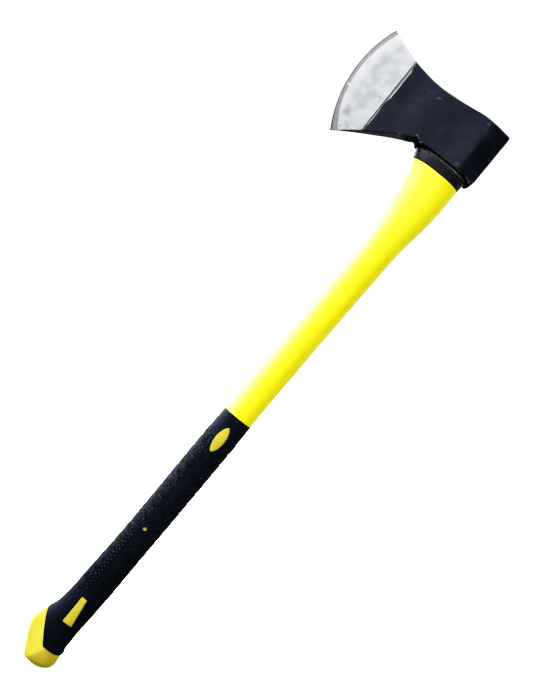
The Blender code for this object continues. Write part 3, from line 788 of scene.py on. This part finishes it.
def make_shaft(look):
    """The yellow shaft with its parting line, its root under the sleeve, the tenon in the head, and a
    painted highlight along its front.
    """
    columns = 128
    even = columns_round(columns)
    angles = even - 0.38 * np.sin(2 * even)
    rings, dirt = [], []
    hidden = [(up, 3.0) for up in range(60, 351, 10)]
    for up, inset in hidden + [(GRIP_TOP - 1.5, 2.9), (GRIP_TOP - 1.2, 0.9)]:
        rings.append(ring(grip_lines(up, inset), up, angles, GRIP_ROUND))
        dirt.append(0.5)
    levels = np.concatenate([[GRIP_TOP - 0.9], np.linspace(GRIP_TOP, COLLAR_FOOT - 0.4, 130)])
    for up in levels:
        share = np.clip((up - GRIP_TOP) / (COLLAR_FOOT - GRIP_TOP), 0, 1)
        one = ring(shaft_lines(up), up, angles, between(GRIP_ROUND, NECK_ROUND, share))
        out = outward(one, (one.max(0) + one.min(0)) / 2)
        seam = 0.16 * bell(np.abs(one[:, 1]), 0, 0.45)
        rings.append(one + out * (seam + 0.05 * noise(one, 24, 8))[:, None])
        ends = 1 - smooth(0, 14, min(up - GRIP_TOP, COLLAR_FOOT - up))
        dirt.append(float(0.25 + 0.75 * ends))
    rings += [ring(NECK, u, angles, NECK_ROUND) for u in (COLLAR_FOOT - 0.1, COLLAR_TOP)]
    rings.append(ring(TENON_FOOT, COLLAR_TOP, angles, EYE_ROUND))
    crown = lambda forward: track(CROWN_LINE, forward) - SET_BACK
    top = ring(TENON_TOP, crown, angles, EYE_ROUND)
    middle = top.mean(0)
    rings += [top - (0, 0, 0.6), middle + (top - middle) * 0.96]
    dirt += [0.6] * 5
    place = np.array(rings)
    forward = -place[..., 0]
    centre = (forward.max(1, keepdims=True) + forward.min(1, keepdims=True)) / 2
    turn = (forward - centre) / (np.ptp(forward, axis=1, keepdims=True) / 2)
    flare = smooth(590, 700, place[..., 2])
    # painted highlight: paler towards the front, weaker and wider near the head
    front_highlight = (1 - 0.95 * flare) * smooth(-0.1, 0.95, turn) + 0.22 * flare * smooth(-0.5, 0.1, turn)
    return build("shaft_and_tenon", *tube(rings), "yellow_plastic", ("handle_jacket",), [look], sharp=35,
                 spots={"dirt": np.repeat(dirt, columns), "front_highlight": front_highlight})


# ---- head, collar and resin


def make_collar(look):
    """The moulded ring under the head, with rounded rims and a faint step round it."""
    columns = 120
    angles = columns_round(columns)
    foot, top = COLLAR_FOOT + GAP, COLLAR_TOP
    profile = ((0.0, -0.9, 0), (0.12, -0.35, 1), (0.4, -0.08, 1), (0.9, 0, 0.6), (3.0, 0, 0.1), (5.5, 0, 0),
               (8.2, 0, 0), (9.6, 0, 0.3), (10.6, 0, 0.9), (11.0, -0.12, 1), (11.6, -0.75, 0.7),
               (12.2, -1.3, 0.5), (12.55, -1.8, 0.3), (top - foot, -2.6, 0.1))
    rings, rim = [], []
    for rise, inset, worn in profile:
        share = min(1, rise / 11.0)
        section = between(COLLAR_LOW, COLLAR_SHOULDER, share ** 0.85)
        rings.append(ring(grown(section, inset), foot + rise, angles, NECK_ROUND))
        rim.append(worn)
    grid = np.array(rings)
    grid = grid + normals(grid) * (0.06 * noise(grid, 6, 12))[..., None]
    inner = [ring(grown(NECK, GAP / 2), u, angles, NECK_ROUND) for u in (top, foot)]
    rings = list(grid) + inner
    rim += [0, 0]
    return build("head_collar_ring", *tube(rings, closed=True), "collar_plastic", ("head_collar",), [look],
                 sharp=38, spots={"rim": np.repeat(rim, columns)})


BEAD_DROPS = ((3.62, 1.6, 0.06), (3.42, 1.1, 0.045), (2.55, 1.2, 0.07))  # angle, height, spread


def make_resin(look):
    """The squeezed-out bead between collar and head, fuller at the back, and the fill of the eye."""
    columns = 144
    angles = columns_round(columns)
    rings = []
    low, high = COLLAR_TOP - 0.35, HEAD_FOOT + 0.1
    back = smooth(-0.2, 0.95, -np.cos(angles))
    for k in range(9):
        turn = math.pi * k / 8
        up = low + (high - low) * k / 8
        base = ring(grown(COLLAR_RIM, -2.2), up, angles, NECK_ROUND)
        out = outward(base, base.mean(0))
        bulge = -1.6 + 3.0 * back + 0.45 * noise(base * (1, 1, 0), 3.5, 21) * (0.3 + back)
        for turn_at, size, wide in BEAD_DROPS:
            bulge = bulge + size * bell(angles, turn_at, wide)
        rings.append(base + out * (bulge * (0.35 + 0.65 * math.sin(turn)))[:, None])
    share = lambda up: (up - HEAD_FOOT) / (HEAD_CROWN - HEAD_FOOT)
    eye = lambda up: between(EYE_FOOT, EYE_TOP, share(up))
    crown = lambda forward: track(CROWN_LINE, forward)
    rings.append(ring(eye(high), high, angles, EYE_ROUND))
    rings.append(ring(eye(760.0), 760.0, angles, EYE_ROUND))
    outer = ring(eye(HEAD_CROWN), crown, angles, EYE_ROUND)
    inner = ring(grown(TENON_TOP, 0.05), crown, angles, EYE_ROUND)
    for t in np.linspace(0, 1, 8):
        one = outer + (inner - outer) * t
        sag = 1.35 * (1 - (2 * t - 1) ** 2) + 0.35 * noise(one, 4.0, 22)
        rings.append(one - np.stack([0 * sag, 0 * sag, 0.75 + sag * 0.5], -1))
    rings.append(ring(grown(TENON_FOOT, 0.05), low, angles, EYE_ROUND))
    return build("resin_fill", *tube(rings, closed=True), "resin", ("eye_resin",), [look], sharp=60)


def head_lines(forward):
    """Lower and upper outline of the head, with the poll's rounded corners."""
    low, high = track(BELLY_LINE, forward), track(CROWN_LINE, forward)
    depth = forward - POLL
    lifts = [r - np.sqrt(r**2 - np.clip(r - depth, 0, r) ** 2) for r in (POLL_FOOT_RADIUS, POLL_TOP_RADIUS)]
    return low + lifts[0], high - lifts[1]


def reach_of(share):
    """Forward distance at which a line at this share of the head's height meets the cutting edge."""
    heel, toe = np.array(HEEL), np.array(TOE)
    chord = toe - heel
    half = np.linalg.norm(chord) / 2
    radius = (half**2 + EDGE_SAGITTA**2) / (2 * EDGE_SAGITTA)
    outward = np.array((chord[1], -chord[0])) / (2 * half)
    centre = (heel + toe) / 2 - outward * (radius - EDGE_SAGITTA)

    def inside(forward):
        low, high = head_lines(forward)
        return np.hypot(forward - centre[0], low + (high - low) * share - centre[1]) < radius

    return halved(np.full(share.shape, 97.0), np.full(share.shape, 158.0), inside)


STAIN, NICK = (122.9, 698), (141.4, 725)  # forward, up
# Specks of bare metal in the paint as (forward, up, strength)
FLECKS = ((51.6, 773, 0.6), (53, 771.6, 0.4), (60.8, 714.5, 0.8), (-9.5, 726.6, 0.7), (-8.2, 782.8, 0.6),
          (44.8, 724.6, 0.9), (42.6, 723.6, 0.5), (36.6, 720.8, 0.9), (-29, 721, 1.0), (-30.6, 719.6, 0.8),
          (-32, 721.2, 0.7), (-33.6, 718.8, 0.9), (-34, 722.8, 0.5), (-27.2, 722.6, 0.5))
PAINT, STEEL, GROOVE, GROUND = range(4)  # a ground row is steel on the cheeks and painted round the rim
HEAD_CORNER, POLL_ROUND = 1.7, 1.5
HEAD_SHARP = 26  # degrees above which an edge of the head is shaded sharp


def head_section():
    """Lines that run round the head's section, near cheek first and then its mirror.

    For each line: its share of the height, its place across the flat, across the corner and above the
    corner, and its side.
    """
    cheek, arc, strip = 72, 6, 7
    turns = [math.pi / 2 * k / arc for k in range(arc + 1)]
    lines = [(0, k / strip, 0, 0) for k in range(strip)]
    lines += [(0, 1, math.cos(t - math.pi / 2), 1 + math.sin(t - math.pi / 2)) for t in turns[:-1]]
    lines += [(k / cheek, 1, 1, 1 - 2 * k / cheek) for k in range(cheek + 1)]
    lines += [(1, 1, math.cos(t), math.sin(t) - 1) for t in turns[1:]]
    lines += [(1, 1 - k / strip, 0, 0) for k in range(1, strip + 1)]
    lines = np.array(lines, float)
    mirror = lines[-2:0:-1]
    side = np.concatenate([np.ones(len(lines)), -np.ones(len(mirror))])
    return (*np.concatenate([lines, mirror]).T, side)


def head_rows(share, side, reach, line, bevel):
    """Rings from the poll to the edge as (forward, half thickness, corner radius, inset, bevel, finish)."""
    rows = []

    def body(forward, inset=0.0):
        lean = (line - GRIND_LINE) * smooth(78, 96, forward)
        rows.append((forward + lean, track(HALF_THICKNESS, forward) - inset, HEAD_CORNER, inset, 0.0, PAINT))

    for turn in np.linspace(0, 1, 6):
        angle = turn * math.pi / 2
        body(POLL + POLL_ROUND * (1 - math.cos(angle)), inset=POLL_ROUND * (1 - math.sin(angle)))
    for forward in np.concatenate([np.arange(-35, 38.5, 1.75), np.arange(38.8, 46.5, 0.45),
                                   np.arange(47.5, 93.2, 1.7)]):
        body(float(forward))
    # Where the paint ends, a ragged strip of it has been ground through
    worn = smooth(0.05, 0.09, share) * (1 - smooth(0.28, 0.36, share))
    torn = smooth(0.4, 0.5, share) * (1 - smooth(0.88, 0.93, share))
    strip = 0.12 + 0.75 * worn + (1.5 + 0.7 * share) * torn
    strip = strip * (1 + 0.25 * wander(share, side, 40, 5, 41))
    for t, drop, finish in ((0.0, 0.0, PAINT), (0.3, 0.0, STEEL), (0.65, 0.02, STEEL), (1.0, 0.06, STEEL)):
        half = track(HALF_THICKNESS, 95.0) - drop
        rows.append((line - 0.8 - strip * (1 - t), half, HEAD_CORNER, 0.0, 0.0, finish))
    for forward, half in ((-0.5, 7.4), (-0.1, 6.95), (0.3, 6.95)):
        rows.append((line + forward, half, 1.5, 0.0, 0.0, GROOVE))
    ground = float(track(HALF_THICKNESS, GRIND_LINE)) - 0.45
    for t in np.concatenate([[0.022], np.linspace(0.045, 1, 40)]):
        forward = line + (reach - line) * bevel * t
        half = ground + (BEVEL_HALF - ground) * (0.85 * t + 0.15 * t * t)
        rows.append((forward, half, min(1.4, 0.5 * half), 0.0, 0.0, GROUND))
    for t in np.linspace(0, 1, 8)[1:]:
        forward = line + (reach - line) * (bevel + (1 - bevel) * t)
        half = BEVEL_HALF + (EDGE_HALF - BEVEL_HALF) * t
        rows.append((forward, half, 0.45 * half, 0.0, 1.0, GROUND))
    return rows


def wander(share, side, waves, sway, seed):
    """Slow irregularity of a line that runs down both cheeks."""
    return noise(np.stack([share * waves, side * sway, np.zeros_like(share)], -1), 1.0, seed)


def open_eye(head, look):
    """Cuts the tapered eye through the head, with its rims eased."""
    angles = columns_round(96)
    crown = lambda lift: (lambda forward: track(CROWN_LINE, forward) + lift)
    steps = ((EYE_FOOT, 1.2, HEAD_FOOT - 8.0), (EYE_FOOT, 1.2, HEAD_FOOT - 0.2),
             (EYE_FOOT, 0, HEAD_FOOT + 1.0), (EYE_TOP, 0, crown(-1.4)),
             (EYE_TOP, 0.35, crown(-0.7)), (EYE_TOP, 1.3, crown(0.3)),
             (EYE_TOP, 1.3, crown(9.0)))
    rings = [ring(grown(section, by), up, angles, EYE_ROUND) for section, by, up in steps]
    cut(head, HEAD_SHARP, build("cut_eye", *tube(rings), looks=[look]))


def make_head(paint, steel, groove):
    """The forging: painted body with rounded edges, ground bit, coarser edge bevel, and the open eye."""
    share, flat, corner, above, side = head_section()
    reach = reach_of(share)
    line = GRIND_LINE + 0.9 * (share - 0.5) + 0.3 * wander(share, side, 9, 3, 31)
    width = 5.3 + 1.6 * (1 - smooth(0.0, 0.25, share)) - 0.3 * smooth(0.8, 1.0, share)
    width = width + 0.25 * wander(share, side, 14, 5, 32)
    bevel = 1 - width / (reach - line)
    rims_here = (np.abs(corner - 0.7) < 0.25) & (corner > 0) & (corner < 1)

    rings, bevels, stains, rims, finishes = [], [], [], [], []
    for forward, half, radius, inset, edge, finish in head_rows(share, side, reach, line, bevel):
        low, high = head_lines(forward)
        low, high = low + inset, high - inset
        thin = 1 - 0.1 * (2 * share - 1) ** 2 * np.clip((forward - 20) / 60, 0, 1)
        wide = half * thin
        up = low * (1 - share) + high * share + radius * above
        rings.append(solid_points(forward, side * (flat * (wide - radius) + corner * radius), up))
        bevels.append(np.full(len(share), edge))
        heel = bell(share, 0.1, 0.16) * smooth(100, 112, forward)
        stains.append(np.clip(0.25 + heel, 0, 1))
        rims.append(np.where(rims_here, 1.0, 0.1))
        finishes.append(finish)
    grid, bevels = np.array(rings), np.array(bevels)
    painted = 1 - smooth(90, 96, -grid[..., 0])
    lift = 0.16 * noise(grid, 15, 33) + 0.08 * noise(grid, 5.5, 34) + 0.03 * noise(grid, 2.2, 35) - 0.12
    lift = painted * lift + (1 - painted) * 0.05 * noise(grid, 20, 36)
    lift -= 0.28 * bell((share - 0.355) * 130, 0, 0.9) * bevels
    grid = grid + normals(grid) * lift[..., None]

    face = grid[0]
    middle = face.mean(0)
    caps = []
    for scale in (0.1, 0.35, 0.6, 0.8, 0.93):
        one = middle + (face - middle) * scale
        one[:, 0] = -POLL - 0.02 + 0.1 * noise(one, 9, 37) - 0.1
        caps.append(one)
    grid = np.concatenate([np.array(caps), grid])
    # painted shade: a dark line along the cutting edge; the bare strip by the grind line is darkened too
    lips = np.zeros(bevels.shape)
    lips[-1], lips[-2] = 1.0, 0.6
    lips[np.array(finishes) == STEEL] = 0.55
    forward, up, near = -grid[..., 0], grid[..., 2], grid[..., 1] < 0
    spots = {}
    for key, cap, values in (("bevel", 0.0, bevels), ("lip", 0.0, lips), ("stain", 0.0, stains),
                             ("rim", 0.15, rims)):
        spots[key] = np.concatenate([np.full((len(caps), len(share)), cap), values])
    poll_rim = smooth(-POLL - 2.2, -POLL - 1.0, grid[..., 0])
    spots["rim"] = np.maximum(spots["rim"], poll_rim * (np.arange(len(grid)) > len(caps))[:, None])
    spots["rubbed"] = np.exp(-(((forward - 66) / 11) ** 4) - ((up - 755) / 22) ** 4) * near
    # painted shade on the underside, strongest from the poll to the notch
    spots["under"] = (1 - smooth(0.1, 0.75, corner)) * (share < 0.5)
    spots["under"] = spots["under"] * (0.35 + 0.65 * (1 - smooth(44, 62, forward)))
    spots["under"] *= smooth(POLL + 0.4, POLL + 1.6, forward)  # the underside only, not the poll's own face
    along = (forward - line) / ((reach - line) * bevel)
    spots["honed"] = smooth(0.66, 0.97, along) * (along < 1.001)
    # painted highlight at the nick, on the near cheek only
    spots["scratch"] = near * bell(forward, NICK[0], 1.6) * bell(up, NICK[1], 0.7)
    spots["bloom"] = 0.6 * near * np.exp(-((forward - STAIN[0]) ** 2 + (up - STAIN[1]) ** 2) / 24)
    spots["fleck"] = sum(near * size * np.exp(-((forward - f) ** 2 + (up - u) ** 2) / 0.9)
                         for f, u, size in FLECKS)
    finishes = [PAINT] * len(caps) + finishes
    indices = [np.where(corner < 0.95, PAINT, STEEL) if finish == GROUND else np.full(len(share), finish)
               for finish in finishes[1:]]
    indices = [*np.concatenate(indices), PAINT, STEEL]
    points, faces = tube(grid)
    head = build("head_forging", points, faces, "head_steel", ("axe_head",), [paint, steel, groove],
                 sharp=HEAD_SHARP, spots=spots, indices=indices)
    open_eye(head, paint)


# ---- studio

# Lights of the surround: azimuth from -Y towards the cutting edge, elevation, level, and the
# outer and inner radius of the soft rim, in degrees
AMBIENT = 0.06
LOBES = (
    (100, 5, 7.5, 64, 44),
    (30, 5, 0.5, 50, 18),
    (-2, 5, 1.7, 19, 11),
    (-105, 10, 0.9, 62, 20),
    (160, 15, 0.7, 70, 30),
    (0, 85, 1.5, 60, 42),
)
# Film-like contrast, as (scene level, shown level)
TONE = ((0.01, 0.0018), (0.03, 0.009), (0.06, 0.033), (0.12, 0.105), (0.4, 0.47), (0.68, 0.84), (0.92, 0.99))


def world():
    """Soft studio surround: one large light on the cutting-edge side, weak fills, a white backdrop."""
    sky = Graph(bpy.data.worlds.new("studio"), "Generated")
    total = None
    for azimuth, lift, level, wide, narrow in LOBES:
        turn, rise = math.radians(azimuth), math.radians(lift)
        aim = (-math.sin(turn) * math.cos(rise), -math.cos(turn) * math.cos(rise), math.sin(rise))
        dot = sky.add("VectorMath", out="Value", settings={"operation": "DOT_PRODUCT"}, i0=sky.place, i1=aim)
        low, high = math.cos(math.radians(wide)), math.cos(math.radians(narrow))
        total = sky.plus(sky.span(dot, low, high, 0, level), AMBIENT if total is None else total)
    soft = sky.add("Background", Color=(0.97, 0.985, 1), Strength=total)
    white = sky.add("Background", Color=(1, 1, 1))
    seen = sky.add("LightPath", out="Is Camera Ray")
    surface = sky.tree.nodes["World Output"].inputs["Surface"]
    sky.put(surface, sky.add("MixShader", i0=seen, i1=soft, i2=white))
    bpy.context.scene.world = sky.data


def softbox(name, place, target, size, power):
    """A rectangular area light that gloss and steel don't mirror."""
    light = bpy.data.lights.new(name, "AREA")
    light.shape = "RECTANGLE"
    light.size, light.size_y = size
    light.energy = power
    made = placed(name, light)
    made.location = place
    made.visible_glossy = False
    made.rotation_euler = (Vector(target) - Vector(place)).to_track_quat("-Z", "Y").to_euler()


FLOOR_HALF, FLOOR_DROP = 30.0, 0.0005


def floor():
    """A pale floor that lights the axe only weakly from below."""
    mesh = bpy.data.meshes.new("floor")
    corners = [(FLOOR_HALF * x, FLOOR_HALF * y, 0) for x, y in ((-1, -1), (1, -1), (1, 1), (-1, 1))]
    mesh.from_pydata(corners, [], [(0, 1, 2, 3)])
    made = placed("floor", mesh)
    made.location = (0, 0, -FLOOR_DROP)
    look = Look("pale_floor", Specular_IOR_Level=0.1, Emission_Color=(1, 1, 1), Emission_Strength=0.8)
    grain = look.noise(180, 3)
    look.set(Base_Color=look.mix(grain, (0.86, 0.86, 0.86), (0.89, 0.89, 0.89)), Roughness=0.9)
    dim = look.add("BsdfDiffuse", Color=(0.12, 0.12, 0.12))
    seen = look.add("LightPath", out="Is Camera Ray")
    shader, output = (look.tree.nodes[name] for name in ("Principled BSDF", "Material Output"))
    look.put(output.inputs["Surface"], look.add("MixShader", i0=seen, i1=dim, i2=shader.outputs[0]))
    mesh.materials.append(look.data)


CAMERA_TARGET, CAMERA_DISTANCE = (-0.0224, 0, 0.4354), 0.95
CAMERA_ROLL, CAMERA_LENS = 50.6, 43.47  # degrees, mm


def camera():
    """Level with the middle of the axe and square to its cheek, rolled as the photograph is."""
    roll = math.radians(CAMERA_ROLL)
    right = Vector((math.sin(roll), 0, math.cos(roll)))
    up = Vector((-math.cos(roll), 0, math.sin(roll)))
    made = placed("camera", bpy.data.cameras.new("camera"))
    place = Matrix((right, up, right.cross(up))).transposed().to_4x4()
    place.translation = Vector(CAMERA_TARGET) - Vector((0, CAMERA_DISTANCE, 0))
    made.matrix_world = place
    made.data.lens = CAMERA_LENS
    made.data.clip_end = 200
    bpy.context.scene.camera = made


# ---- the scene

# satin is the shaded copy of the yellow, for the butt and the windows
yellow, satin, rubber = shaft_yellow(), knob_yellow(), grip_rubber()
make_shaft(yellow)
make_knob(satin)
make_pads(satin)
make_grip(rubber)
make_collar(collar_plastic())
make_resin(cast_resin())
make_head(head_paint(), ground_steel(), dark_groove())
core = frame["nodes"]["handle_core"]
core.data.materials.clear()
core.data.materials.append(glass_fibre())

world()
floor()
camera()
softbox("key", place=(-1.5, -0.35, 0.6), target=(0, 0, 0.45), size=(1.0, 1.4), power=10)
view = bpy.context.scene.view_settings
view.view_transform = "Standard"
view.use_curve_mapping = True
tone = view.curve_mapping.curves[3]
for level, shown in TONE:
    tone.points.new(level, shown)
tone.points[-1].location = (1.0, 1.02)
view.curve_mapping.clip_max_y = 2
view.curve_mapping.update()
